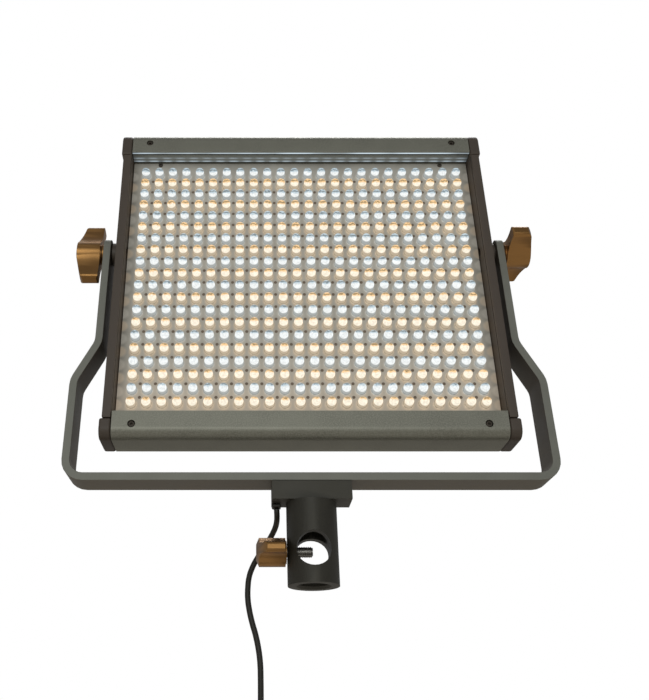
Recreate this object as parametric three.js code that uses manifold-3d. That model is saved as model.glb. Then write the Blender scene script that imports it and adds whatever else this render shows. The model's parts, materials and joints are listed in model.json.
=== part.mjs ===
// Bi-colour LED panel light in a U-shaped bracket with a stand receiver.
// Millimetres, +Z up. The origin is the centre of the receiver's bottom mouth, the lamp faces -Y and +X is to
// the right when the lamp is seen from its lit side.

import * as THREE from 'three';
import { mergeVertices } from 'three/addons/utils/BufferGeometryUtils.js';
import Module from 'manifold-3d';

const wasm = await Module();
wasm.setup();

// ---------------------------------------------------------------- driving dimensions

const GAP = 0.3;                 // air between pieces that touch
const FRONT_Y = -14;             // front face of the housing
const BACK_Y = 16;               // back face of the housing
const PIVOT_Z = 208;             // tilt axis, along X

// Housing
const BAR_HEIGHT = 16;
const BAR_RADIUS = 6.5;          // outer corners of the two bars
const BAR_WALL = 2.2;
const BAR_HALF = 112.4;          // half length of a bar
const TOP_Z = 296;
const BOTTOM_Z = 79;
const CAP_EDGE_TOP = 278.2;      // where the corner caps meet the side rails
const CAP_EDGE_BOTTOM = 90.8;
const CAP_HALF = 119.5;          // half width over the corner caps
const RAIL_HALF = 118;           // half width over the side rails
const RAIL_INNER = 113;
const SLOT_WIDTH = 1.1;          // grooves along the bars, the front one going on down the side rails
const SLOT_DEPTH = 1.6;
const SLOT_Y = [-11.8, -3.5];
const BAR_SCREW_X = 101;
const BAR_SCREW_INSET = 8.2;     // from a bar's outer edge

// Light engine
const LED_COLUMNS = 24;
const LED_ROWS = 20;
const LED_PITCH_X = 9;
const LED_PITCH_Z = 8.7;
const LED_TOP_Z = 269;
const LED_SIZE = 5;
const LED_TIP_Y = -9.6;
const BOARD_FRONT_Y = -2;
const BOARD_THICKNESS = 1.6;
const BOARD_HALF = 112.4;

// Rear cover and controls
const COVER_BACK_Y = 15.5;
const COVER_THICKNESS = 2.5;
const HUMP_HALF = 70;
const HUMP_BOTTOM_Z = 115;
const HUMP_TOP_Z = 255;
const HUMP_BACK_Y = 24;
const CONTROL_Z = 136;
const DIAL_X = 20;
const ROCKER_X = 50;
const INLET_X = -50;
const BATTERY_X = 36;
const BATTERY_Z = 205;

// Bracket
const STRIP = 4.5;               // thickness of the flat bar
const STRIP_HALF_DEPTH = 10;
const ARM_UPPER = 126.6;         // outer half width at the pivots
const ARM_LOWER = 139.2;         // outer half width at the bottom
const ARM_TOP_Z = 215.5;
const ARM_CORNER = 6;            // rounding of the arms' ends
const BEND_TOP_Z = 141;
const BEND_BOTTOM_Z = 116;
const BRACKET_BOTTOM_Z = 55.5;

// Receiver
const TUBE_RADIUS = 14;
const BORE_RADIUS = 8.25;        // for a 16 mm stand spigot
const BORE_DEPTH = 41;
const CROSS_RADIUS = 9.3;
const CROSS_Z = 18;
const FLANGE_HALF = 22;
const FLANGE_Y = [-10.4, 8];
const FLANGE_BOTTOM_Z = 44.9;

// Knobs and their threaded studs
const STUD_RADIUS = 4;
const STUD_TIP_X = 114;
const CLAMP_RADIUS = 3;
const RIGHT_KNOB_TURN = 80;      // resting lean of the wings towards -Y, degrees from upright
const LEFT_KNOB_TURN = -14;

// Lead
const CORD_DIAMETER = 3.2;
const CORD_SIDES = 8;
const COIL_INNER = 13.2;
const COIL_OUTER = 23.7;
const COIL_CENTRE = { x: -28.4, z: -88 };
const COIL_Y = [10.3, 26.9];
const TAIL_X = COIL_CENTRE.x + 21.6;
const TAIL_Y = 25;
const TAIL_Z = [-118, -101.2];
const PLUG_BOTTOM_Z = -152;

// The lead's free stretch, from the gland under the receiver to the coil
const LEAD_ROUTE = [
  [-19.2, 1.5, 42.3], [-19.1, 1.9, 40.6], [-19, 3.6, 38.4], [-19.1, 7, 36.4], [-19.7, 10.6, 34.4],
  [-21.2, 14, 31.6], [-23.6, 16.7, 28], [-26.6, 18.4, 23.8], [-29.8, 19, 19], [-32.6, 18.8, 13.8],
  [-34.5, 18.1, 8.2], [-35.2, 17.4, 2.1], [-35.2, 17, -3.5], [-34.4, 17, -9.5], [-32.9, 17, -16],
  [-31, 17, -22.5], [-29.5, 17, -29.5], [-28.6, 16.6, -37], [-28.4, 15.6, -45], [-28.4, 14.2, -52],
  [-28.4, 13, -58], [-28.4, 12.5, -63.8],
];

// ---------------------------------------------------------------- materials

function finish(color, roughness, metalness) {
  return new THREE.MeshStandardMaterial({ color, roughness, metalness });
}

const ALUMINIUM = finish(0x8b8c84, 0.42, 0.8);
const SIDE_PLASTIC = finish(0x2c2722, 0.55, 0);
const REAR_PLASTIC = finish(0x242322, 0.6, 0);
const BRACKET_METAL = finish(0x6b706a, 0.45, 0.75);
const RECEIVER_METAL = finish(0x2a2822, 0.5, 0.6);
const BRONZE = finish(0xa06a33, 0.38, 0.75);
const STEEL = finish(0x9a9a96, 0.3, 0.95);
const DARK_STEEL = finish(0x33312e, 0.4, 0.9);
const NYLON = finish(0x1c1c1c, 0.6, 0);
const BOARD_WHITE = finish(0xcfccc2, 0.55, 0);
const CIRCUIT_GREEN = finish(0x2f5b3c, 0.5, 0.1);
const COOL_LED = finish(0xdfe9f2, 0.15, 0);
const WARM_LED = finish(0xf2d9a8, 0.15, 0);
const RUBBER = finish(0x1a1916, 0.65, 0);

// ---------------------------------------------------------------- solids

function signedVolume(positions, indices) {
  const a = new THREE.Vector3();
  const b = new THREE.Vector3();
  const c = new THREE.Vector3();
  let volume = 0;
  for (let i = 0; i < indices.length; i += 3) {
    a.fromArray(positions, 3 * indices[i]);
    b.fromArray(positions, 3 * indices[i + 1]);
    c.fromArray(positions, 3 * indices[i + 2]);
    volume += a.dot(b.cross(c)) / 6;
  }
  return volume;
}

// A closed three.js geometry as a solid, with its faces turned outwards
function solid(geometry) {
  const bare = geometry.clone();
  bare.deleteAttribute('normal');
  bare.deleteAttribute('uv');
  const merged = mergeVertices(bare, 1e-4);
  const positions = new Float32Array(merged.attributes.position.array);
  const indices = new Uint32Array(merged.index.array);
  if (signedVolume(positions, indices) < 0) {
    for (let i = 0; i < indices.length; i += 3) {
      [indices[i], indices[i + 1]] = [indices[i + 1], indices[i]];
    }
  }
  const mesh = new wasm.Mesh({ numProp: 3, vertProperties: positions, triVerts: indices });
  return new wasm.Manifold(mesh);
}

function geometryOf(body) {
  const mesh = body.getMesh();
  const geometry = new THREE.BufferGeometry();
  geometry.setAttribute('position', new THREE.BufferAttribute(new Float32Array(mesh.vertProperties), 3));
  geometry.setIndex(new THREE.BufferAttribute(new Uint32Array(mesh.triVerts), 1));
  geometry.computeVertexNormals();
  return geometry;
}

function join(first, ...others) {
  return others.reduce((sum, other) => sum.add(other), first);
}

function cut(first, ...tools) {
  return tools.reduce((rest, tool) => rest.subtract(tool), first);
}

function block(x, y, z) {
  const geometry = new THREE.BoxGeometry(x[1] - x[0], y[1] - y[0], z[1] - z[0]);
  geometry.translate((x[0] + x[1]) / 2, (y[0] + y[1]) / 2, (z[0] + z[1]) / 2);
  return solid(geometry);
}

function outline(points) {
  return new THREE.Shape(points.map(([u, v]) => new THREE.Vector2(u, v)));
}

function extruded(shape, length) {
  return new THREE.ExtrudeGeometry(shape, { depth: length, bevelEnabled: false, curveSegments: 5 });
}

// A (y, z) outline drawn out along X
function alongX(shape, from, to) {
  const geometry = extruded(shape, to - from);
  const y = new THREE.Vector3(0, 1, 0);
  const z = new THREE.Vector3(0, 0, 1);
  const x = new THREE.Vector3(1, 0, 0);
  geometry.applyMatrix4(new THREE.Matrix4().makeBasis(y, z, x).setPosition(from, 0, 0));
  return solid(geometry);
}

// An (x, z) outline drawn out along Y
function alongY(shape, from, to) {
  const geometry = extruded(shape, to - from);
  geometry.rotateX(Math.PI / 2);
  geometry.translate(0, to, 0);
  return solid(geometry);
}

// An (x, y) outline drawn out along Z
function alongZ(shape, from, to) {
  const geometry = extruded(shape, to - from);
  geometry.translate(0, 0, from);
  return solid(geometry);
}

// A solid of revolution. The profile lists [radius, distance along the axis] from one end to the other
function turned(profile, axis, centre, segments) {
  const points = profile.map(([radius, distance]) => new THREE.Vector2(radius, distance));
  const geometry = new THREE.LatheGeometry(points, segments);
  if (axis === 'x') geometry.rotateZ(-Math.PI / 2);
  if (axis === 'z') geometry.rotateX(Math.PI / 2);
  geometry.translate(centre[0], centre[1], centre[2]);
  return solid(geometry);
}

function rod(radius, axis, from, to, centre, segments = 20) {
  return turned([[0, from], [radius, from], [radius, to], [0, to]], axis, centre, segments);
}

const model = new THREE.Group();

function add(name, body, material) {
  const mesh = new THREE.Mesh(geometryOf(body), material);
  mesh.name = name;
  model.add(mesh);
  return mesh;
}

const SIDES = [['left', -1], ['right', 1]];
const ENDS = [['top', 1], ['bottom', -1]];

// ---------------------------------------------------------------- housing

function span(a, b) {
  return a < b ? [a, b] : [b, a];
}

// Outline of a bar in (y, z): flat towards the lamp's middle, round at its two outer corners
function barOutline(outerZ, innerZ, inset) {
  const outward = Math.sign(outerZ - innerZ);
  const front = FRONT_Y + inset;
  const back = BACK_Y - inset;
  const outer = outerZ - outward * inset;
  const inner = innerZ + outward * inset;
  const radius = BAR_RADIUS - inset;
  const shape = new THREE.Shape();
  shape.moveTo(front, inner);
  shape.lineTo(front, outer - outward * radius);
  shape.absarc(front + radius, outer - outward * radius, radius, Math.PI, outward * Math.PI / 2, outward > 0);
  shape.lineTo(back - radius, outer);
  shape.absarc(back - radius, outer - outward * radius, radius, outward * Math.PI / 2, 0, outward > 0);
  shape.lineTo(back, inner);
  shape.closePath();
  return shape;
}

function edgesOf(end) {
  const outer = end > 0 ? TOP_Z : BOTTOM_Z;
  return { outer, inner: outer - end * BAR_HEIGHT };
}

function makeBar(end) {
  const { outer, inner } = edgesOf(end);
  const skin = alongX(barOutline(outer, inner, 0), -BAR_HALF, BAR_HALF);
  const hollow = alongX(barOutline(outer, inner + end * SLOT_DEPTH, BAR_WALL), -BAR_HALF - 1, BAR_HALF + 1);
  const slots = SLOT_Y.map((y) => block([-BAR_HALF - 1, BAR_HALF + 1], [y, y + SLOT_WIDTH],
    span(inner - end, inner + end * SLOT_DEPTH)));
  const screwZ = outer - end * BAR_SCREW_INSET;
  const hole = (side) => rod(2.2, 'y', FRONT_Y - 1, FRONT_Y + 4, [side * BAR_SCREW_X, 0, screwZ], 16);
  const holes = SIDES.map(([, side]) => hole(side));
  return cut(skin, hollow, ...slots, ...holes);
}

function makeBarScrew(end, side) {
  const z = edgesOf(end).outer - end * BAR_SCREW_INSET;
  const profile = [[0, -13.2], [1.6, -13.2], [1.9, -12.7], [1.9, -11.2], [1.3, -10.4], [1.3, -5], [0, -5]];
  return turned(profile, 'y', [side * BAR_SCREW_X, 0, z], 14);
}

function makeCornerCap(end, side) {
  const edge = end > 0 ? CAP_EDGE_TOP : CAP_EDGE_BOTTOM;
  return alongX(barOutline(edgesOf(end).outer, edge, 0), ...span(side * (BAR_HALF + GAP), side * CAP_HALF));
}

function makeSideRail(side) {
  const rail = block(span(side * RAIL_INNER, side * RAIL_HALF), [FRONT_Y, BACK_Y],
    [CAP_EDGE_BOTTOM + GAP, CAP_EDGE_TOP - GAP]);
  const filterSlot = block(span(side * (RAIL_INNER - 1), side * (RAIL_INNER + SLOT_DEPTH)),
    [SLOT_Y[0], SLOT_Y[0] + SLOT_WIDTH], [CAP_EDGE_BOTTOM, CAP_EDGE_TOP]);
  const studBore = rod(STUD_RADIUS + GAP, 'x', RAIL_INNER - 2, RAIL_HALF + 2, [0, 0, PIVOT_Z]);
  const bore = side > 0 ? studBore : studBore.rotate([0, 0, 180]);
  return cut(rail, filterSlot, bore);
}

for (const [endName, end] of ENDS) {
  add(`${endName}_bar`, makeBar(end), ALUMINIUM);
  for (const [sideName, side] of SIDES) {
    add(`corner_cap_${endName}_${sideName}`, makeCornerCap(end, side), SIDE_PLASTIC);
    add(`bar_screw_${endName}_${sideName}`, makeBarScrew(end, side), DARK_STEEL);
  }
}
for (const [sideName, side] of SIDES) {
  add(`side_rail_${sideName}`, makeSideRail(side), SIDE_PLASTIC);
}

// ---------------------------------------------------------------- light engine

const PANEL_LOW = edgesOf(-1).inner + GAP;
const PANEL_HIGH = edgesOf(1).inner - GAP;

function makeBoard() {
  return block([-BOARD_HALF, BOARD_HALF], [BOARD_FRONT_Y, BOARD_FRONT_Y + BOARD_THICKNESS],
    [PANEL_LOW, PANEL_HIGH]);
}

// One row of lamps: square bodies on a thin carrier strip
function makeLedRow(z) {
  const back = BOARD_FRONT_Y - GAP;
  const strip = back - 0.8;
  const half = LED_SIZE / 2;
  const first = -LED_PITCH_X * (LED_COLUMNS - 1) / 2;
  const points = [
    [first - half, back], [first - half, LED_TIP_Y], [first + half, LED_TIP_Y], [first + half, strip],
  ];
  for (let column = 1; column < LED_COLUMNS; column += 1) {
    const x = first + column * LED_PITCH_X;
    points.push([x - half, strip], [x - half, LED_TIP_Y], [x + half, LED_TIP_Y], [x + half, strip]);
  }
  points[points.length - 1][1] = back;
  return alongZ(outline(points), z - half, z + half);
}

add('led_board', makeBoard(), BOARD_WHITE);
for (let row = 0; row < LED_ROWS; row += 1) {
  const cool = row % 2 === 0;
  const name = `${cool ? 'cool' : 'warm'}_led_row_${String(row + 1).padStart(2, '0')}`;
  add(name, makeLedRow(LED_TOP_Z - row * LED_PITCH_Z), cool ? COOL_LED : WARM_LED);
}

// ---------------------------------------------------------------- rear cover and what is on it

function makeDriverBoard() {
  const board = block([-60, 60], [6, 7.6], [120, 250]);
  const heatSink = block([-48, -18], [7, 16], [215, 243]);
  const coil = rod(9, 'y', 7, 16, [10, 0, 228], 16);
  const capacitor = rod(6, 'y', 7, 18, [36, 0, 226], 12);
  const relay = block([-46, -26], [7, 15], [150, 166]);
  return join(board, heatSink, coil, capacitor, relay);
}

function makeRearCover() {
  const plateY = [COVER_BACK_Y - COVER_THICKNESS, COVER_BACK_Y];
  const plate = block([-BOARD_HALF, BOARD_HALF], plateY, [PANEL_LOW, PANEL_HIGH]);
  const chamfer = 5;
  const hump = (inset, back) => alongX(outline([
    [plateY[0] - inset, HUMP_BOTTOM_Z + inset],
    [back - chamfer, HUMP_BOTTOM_Z + inset],
    [back, HUMP_BOTTOM_Z + inset + chamfer],
    [back, HUMP_TOP_Z - inset - chamfer],
    [back - chamfer, HUMP_TOP_Z - inset],
    [plateY[0] - inset, HUMP_TOP_Z - inset],
  ]), -HUMP_HALF + inset, HUMP_HALF - inset);
  const shell = cut(join(plate, hump(0, HUMP_BACK_Y)), hump(COVER_THICKNESS, HUMP_BACK_Y - COVER_THICKNESS));
  const vents = [];
  for (const [, side] of SIDES) {
    for (let z = 118; z < 256; z += 12) {
      vents.push(block(span(side * 77, side * 103), [plateY[0] - 1, COVER_BACK_Y + 1], [z, z + 4]));
    }
  }
  const hole = (x, z, halfX, halfZ) => block([x - halfX, x + halfX], [HUMP_BACK_Y - 4, HUMP_BACK_Y + 1],
    [z - halfZ, z + halfZ]);
  const well = (radius, x) => rod(radius, 'y', HUMP_BACK_Y - 4, HUMP_BACK_Y + 1, [x, 0, CONTROL_Z]);
  const openings = [
    hole(ROCKER_X, CONTROL_Z, 6, 9.4),
    ...SIDES.map(([, side]) => hole(side * BATTERY_X, BATTERY_Z - 37, 7, 4)),
    ...SIDES.map(([, side]) => well(3.5, side * DIAL_X)),
    well(6.3, INLET_X),
  ];
  return cut(shell, ...vents, ...openings);
}

// Grooved knob with its shaft
function makeDial(x) {
  const y = HUMP_BACK_Y + GAP;
  const shaft = [[0, 17], [3, 17], [3, y]];
  const grip = [[10.5, y], [10.5, y + 2], [9, y + 3], [8.4, y + 12], [7.4, y + 13], [0, y + 13]];
  const knob = turned([...shaft, ...grip], 'y', [x, 0, CONTROL_Z], 24);
  const pointer = block([x - 0.6, x + 0.6], [y + 12, y + 14], [CONTROL_Z + 2, CONTROL_Z + 7]);
  return cut(knob, pointer);
}

// Rocker with its two faces meeting in a shallow valley
function makeRocker() {
  const low = CONTROL_Z - 8;
  const high = CONTROL_Z + 8;
  const profile = outline([[20, low], [24.6, low], [23.6, CONTROL_Z], [26.4, high], [20, high]]);
  return alongX(profile, ROCKER_X - 5.4, ROCKER_X + 5.4);
}

function makeInlet() {
  const y = HUMP_BACK_Y;
  const profile = [[0, 13], [6, 13], [6, y + GAP], [8.2, y + GAP], [8.2, y + 1.6], [0, y + 1.6]];
  const body = turned(profile, 'y', [INLET_X, 0, CONTROL_Z], 24);
  const socket = rod(3, 'y', 15, y + 3, [INLET_X, 0, CONTROL_Z], 16);
  const pin = rod(1.05, 'y', 14, y, [INLET_X, 0, CONTROL_Z], 8);
  return join(cut(body, socket), pin);
}

// Battery seat: a plate with a raised pad, a lip along each side and two contact blocks at its top
function makeBatteryPlate(side) {
  const x = side * BATTERY_X;
  const y = HUMP_BACK_Y + GAP;
  const plate = block([x - 19, x + 19], [y, y + 3], [BATTERY_Z - 30, BATTERY_Z + 30]);
  const pad = block([x - 15, x + 15], [y + 2, y + 3.5], [BATTERY_Z - 28, BATTERY_Z + 16]);
  const lips = SIDES.map(([, edge]) => alongZ(outline([
    [x + edge * 19, y + 2],
    [x + edge * 19, y + 6.5],
    [x + edge * 16.6, y + 6.5],
    [x + edge * 16.6, y + 4.8],
    [x + edge * 17.6, y + 4.8],
    [x + edge * 17.6, y + 2],
  ]), BATTERY_Z - 26, BATTERY_Z + 26));
  const contacts = [-6.5, 6.5].map((offset) => block([x + offset - 2, x + offset + 2], [y + 2, y + 5.8],
    [BATTERY_Z + 19, BATTERY_Z + 28]));
  return join(plate, pad, ...lips, ...contacts);
}

function makeBatteryLatch(side) {
  const x = side * BATTERY_X;
  const z = BATTERY_Z - 37;
  const profile = outline([
    [18.5, z - 3.4], [26.6, z - 3.4], [28.6, z + 1], [28.6, z + 3.4], [18.5, z + 3.4],
  ]);
  return alongX(profile, x - 6.4, x + 6.4);
}

add('driver_board', makeDriverBoard(), CIRCUIT_GREEN);
add('rear_cover', makeRearCover(), REAR_PLASTIC);
add('brightness_dial', makeDial(DIAL_X), NYLON);
add('temperature_dial', makeDial(-DIAL_X), NYLON);
add('power_rocker', makeRocker(), NYLON);
add('dc_inlet', makeInlet(), NYLON);
for (const [sideName, side] of SIDES) {
  add(`battery_plate_${sideName}`, makeBatteryPlate(side), REAR_PLASTIC);
  add(`battery_latch_${sideName}`, makeBatteryLatch(side), SIDE_PLASTIC);
}

// ---------------------------------------------------------------- bracket

// Points and normals along the right half of the strip's middle line, from the arm's end to the bar's middle
function stripLine() {
  const upper = ARM_UPPER - STRIP / 2;
  const lower = ARM_LOWER - STRIP / 2;
  const base = BRACKET_BOTTOM_Z + STRIP / 2;
  const corners = [
    [upper, PIVOT_Z + 12], [upper, BEND_TOP_Z], [lower, BEND_BOTTOM_Z], [lower, base], [0, base],
  ];
  const radii = [0, 12, 12, 10, 0];
  const line = [];
  const vector = (u, v) => new THREE.Vector2(u, v);
  for (let i = 1; i < corners.length - 1; i += 1) {
    const here = vector(...corners[i]);
    const before = vector(...corners[i - 1]).sub(here).normalize();
    const after = vector(...corners[i + 1]).sub(here).normalize();
    const halfAngle = Math.acos(before.dot(after)) / 2;
    const inwards = before.clone().add(after).setLength(radii[i] / Math.sin(halfAngle));
    const centre = here.clone().add(inwards);
    const start = before.clone().setLength(radii[i] / Math.tan(halfAngle)).sub(inwards).angle();
    const turn = Math.PI - 2 * halfAngle;
    const sign = before.cross(after) > 0 ? -1 : 1;
    const steps = Math.max(2, Math.round(turn / 0.26));
    for (let step = 0; step <= steps; step += 1) {
      const angle = start + sign * turn * step / steps;
      const nx = Math.cos(angle);
      const nz = Math.sin(angle);
      line.push({
        at: vector(nx, nz).multiplyScalar(radii[i]).add(centre),
        normal: vector(sign * nx, sign * nz),
      });
    }
  }
  return { top: corners[0], line };
}

function makeBracket() {
  const { top, line } = stripLine();
  const edge = (offset) => line.map(({ at, normal }) => [at.x + offset * normal.x, at.y + offset * normal.y]);
  const flip = Math.sign(line[line.length - 1].normal.y) * -1;
  const outer = [[ARM_UPPER, top[1]], ...edge(flip * STRIP / 2)];
  const inner = [[ARM_UPPER - STRIP, top[1]], ...edge(-flip * STRIP / 2)];
  const mirrored = (points) => points.map(([x, z]) => [-x, z]).reverse();
  const around = [...outer, ...mirrored(outer), ...mirrored(inner).reverse(), ...inner.reverse()];
  const strip = alongY(outline(around), -STRIP_HALF_DEPTH, STRIP_HALF_DEPTH);
  const half = STRIP_HALF_DEPTH + 0.01;
  const armEnd = ARM_TOP_Z - ARM_CORNER;
  const side = new THREE.Shape();
  side.moveTo(-half, BRACKET_BOTTOM_Z - 5);
  side.lineTo(half, BRACKET_BOTTOM_Z - 5);
  side.absarc(half - ARM_CORNER, armEnd, ARM_CORNER, 0, Math.PI / 2, false);
  side.absarc(ARM_CORNER - half, armEnd, ARM_CORNER, Math.PI / 2, Math.PI, false);
  side.closePath();
  const rounded = strip.intersect(alongX(side, -ARM_LOWER - 5, ARM_LOWER + 5));
  return cut(rounded, rod(STUD_RADIUS + 0.4, 'x', -ARM_LOWER, ARM_LOWER, [0, 0, PIVOT_Z]));
}

add('u_bracket', makeBracket(), BRACKET_METAL);

// ---------------------------------------------------------------- stand receiver

function makeReceiver() {
  const tube = rod(TUBE_RADIUS, 'z', 0, FLANGE_BOTTOM_Z, [0, 0, 0], 28);
  const flange = block([-FLANGE_HALF, FLANGE_HALF], FLANGE_Y,
    [FLANGE_BOTTOM_Z, BRACKET_BOTTOM_Z - GAP]);
  const mouth = [[0, -1], [BORE_RADIUS + 2.2, -1], [BORE_RADIUS, 1.4]];
  const bore = turned([...mouth, [BORE_RADIUS, BORE_DEPTH], [0, BORE_DEPTH]], 'z', [0, 0, 0], 28);
  const crossBore = rod(CROSS_RADIUS, 'y', -TUBE_RADIUS - 1, TUBE_RADIUS + 1, [0, 0, CROSS_Z], 28);
  const clampHole = rod(CLAMP_RADIUS + GAP, 'x', -TUBE_RADIUS - 1, -2, [0, 0, CROSS_Z], 16);
  return cut(join(tube, flange), bore, crossBore, clampHole);
}

add('stand_receiver', makeReceiver(), RECEIVER_METAL);

// ---------------------------------------------------------------- knobs

// Cross-section of a wing knob in (y, z): a round hub and two waisted wings along Z with rounded ends
function wingOutline(hub, reach, tipHalf) {
  const root = THREE.MathUtils.degToRad(48);
  const rootY = hub * Math.cos(root);
  const rootZ = hub * Math.sin(root);
  const rounding = tipHalf * 0.7;
  const flat = tipHalf - rounding;
  const shoulder = reach - rounding;
  const waistY = tipHalf * 0.7;
  const waistZ = reach * 0.55;
  const quarter = Math.PI / 2;
  const shape = new THREE.Shape();
  for (const way of [1, -1]) {
    const start = way > 0 ? 0 : Math.PI;
    shape.absarc(0, 0, hub, start - root, start + root, false);
    shape.quadraticCurveTo(way * waistY, way * waistZ, way * tipHalf, way * shoulder);
    shape.absarc(way * flat, way * shoulder, rounding, start, start + quarter, false);
    shape.absarc(-way * flat, way * shoulder, rounding, start + quarter, start + 2 * quarter, false);
    shape.quadraticCurveTo(-way * waistY, way * waistZ, -way * rootY, way * rootZ);
  }
  return shape;
}

// Wing knob on the X axis: its collar starts at x = 0, and from the flat end of the hub its outer side slopes
// back to the wing tips. The wings lie along Z
function makeWingKnob({ length, hub, collar, reach, tipHalf, boreRadius, boreDepth }) {
  const neck = 0.6;
  const slope = 4.2;
  const wings = alongX(wingOutline(hub, reach, tipHalf), neck, length);
  const envelope = turned([
    [0, neck],
    [reach - 0.8, neck],
    [reach + 0.4, neck + 1],
    [reach + 0.4, length - slope - 2],
    [reach - 2, length - slope],
    [hub * 0.55, length],
    [0, length],
  ], 'x', [0, 0, 0], 32);
  const ring = rod(collar, 'x', 0, neck + 1, [0, 0, 0], 24);
  return cut(join(wings.intersect(envelope), ring), rod(boreRadius, 'x', -1, boreDepth, [0, 0, 0], 16));
}

// Stud on the X axis, from its chamfered tip inside the lamp to its end inside the knob
function makeStud(radius, tip, end) {
  const profile = [[0, tip], [radius - 1, tip], [radius, tip + 1.2], [radius, end], [0, end]];
  return turned(profile, 'x', [0, 0, 0], 20);
}

function makeRing(inner, outer, axis, from, to, centre, segments) {
  const profile = [[inner, from], [outer, from], [outer, to], [inner, to], [inner, from]];
  return turned(profile, axis, centre, segments);
}

const KNOB_X = 128.6;
const KNOB_BORE_DEPTH = 11;

for (const [sideName, side] of SIDES) {
  const place = (mesh, turn) => {
    mesh.position.set(0, 0, PIVOT_Z);
    mesh.rotation.set(THREE.MathUtils.degToRad(turn), 0, side > 0 ? 0 : Math.PI, 'XYZ');
  };
  const wings = makeWingKnob({ length: 16.2, hub: 8.4, collar: 6.4, reach: 23.2, tipHalf: 3.9,
    boreRadius: STUD_RADIUS + GAP, boreDepth: KNOB_BORE_DEPTH }).translate([KNOB_X, 0, 0]);
  const stud = makeStud(STUD_RADIUS, STUD_TIP_X, KNOB_X + KNOB_BORE_DEPTH - GAP);
  const washer = (inner, outer, from, to) => makeRing(inner, outer, 'x', from, to, [0, 0, 0], 24);
  const knobWasher = washer(STUD_RADIUS + 0.2, 6.4, ARM_UPPER + GAP, KNOB_X - GAP);
  const spacer = washer(STUD_RADIUS + 0.4, 7.4, RAIL_HALF + GAP, ARM_UPPER - STRIP - GAP);
  place(add(`lock_knob_${sideName}`, wings, BRONZE), side > 0 ? RIGHT_KNOB_TURN : LEFT_KNOB_TURN);
  place(add(`lock_stud_${sideName}`, stud, STEEL), 0);
  place(add(`knob_washer_${sideName}`, knobWasher, BRONZE), 0);
  place(add(`friction_washer_${sideName}`, spacer, SIDE_PLASTIC), 0);
}

const CLAMP_KNOB_X = TUBE_RADIUS + GAP;
const CLAMP_BORE_DEPTH = 9;
const clampKnob = makeWingKnob({ length: 16.4, hub: 7.7, collar: 6.2, reach: 16, tipHalf: 2.9,
  boreRadius: CLAMP_RADIUS + GAP, boreDepth: CLAMP_BORE_DEPTH }).translate([CLAMP_KNOB_X, 0, 0]);
const clampParts = [
  add('clamp_knob', clampKnob, BRONZE),
  add('clamp_stud', makeStud(CLAMP_RADIUS, 0, CLAMP_KNOB_X + CLAMP_BORE_DEPTH - GAP), STEEL),
];
for (const mesh of clampParts) {
  mesh.position.set(0, 0, CROSS_Z);
  mesh.rotation.set(mesh.name === 'clamp_knob' ? Math.PI / 2 : 0, 0, Math.PI, 'XYZ');
}

// ---------------------------------------------------------------- lead

function makeGland() {
  return block([-21.8, -16.8], [-1.6, 4.6], [42.6, FLANGE_BOTTOM_Z - GAP]);
}

function makeLead(route, steps) {
  const points = route.map((point) => new THREE.Vector3(...point));
  const curve = new THREE.CatmullRomCurve3(points, false, 'centripetal');
  const section = new THREE.Shape();
  for (let i = 0; i < CORD_SIDES; i += 1) {
    const angle = 2 * Math.PI * (i + 0.5) / CORD_SIDES;
    const u = CORD_DIAMETER / 2 * Math.cos(angle);
    const v = CORD_DIAMETER / 2 * Math.sin(angle);
    if (i === 0) section.moveTo(u, v);
    else section.lineTo(u, v);
  }
  return solid(new THREE.ExtrudeGeometry(section, { steps, extrudePath: curve, bevelEnabled: false }));
}

function makeCoil() {
  return makeRing(COIL_INNER, COIL_OUTER, 'y', ...COIL_Y, [COIL_CENTRE.x, 0, COIL_CENTRE.z], 32);
}

function makePlug() {
  const top = TAIL_Z[0] - GAP;
  const z = PLUG_BOTTOM_Z;
  const barrel = [[0, z], [2.75, z], [2.75, z + 9.5]];
  const grip = [[4.9, z + 9.5], [5.1, z + 22], [3.4, z + 24.5], [2.4, top], [0, top]];
  return turned([...barrel, ...grip], 'z', [TAIL_X, TAIL_Y, 0], 16);
}

const tailRoute = [0, 1, 2, 3].map((i) => [TAIL_X, TAIL_Y, TAIL_Z[1] + (TAIL_Z[0] - TAIL_Z[1]) * i / 3]);
add('cord_gland', makeGland(), RUBBER);
add('cord_lead', makeLead(LEAD_ROUTE, 20), RUBBER);
add('cord_coil', makeCoil(), RUBBER);
add('cord_tail', makeLead(tailRoute, 2), RUBBER);
add('dc_plug', makePlug(), RUBBER);

export default model;
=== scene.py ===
import json
import math

import bmesh
import bpy
from mathutils import Matrix, Vector

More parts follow.
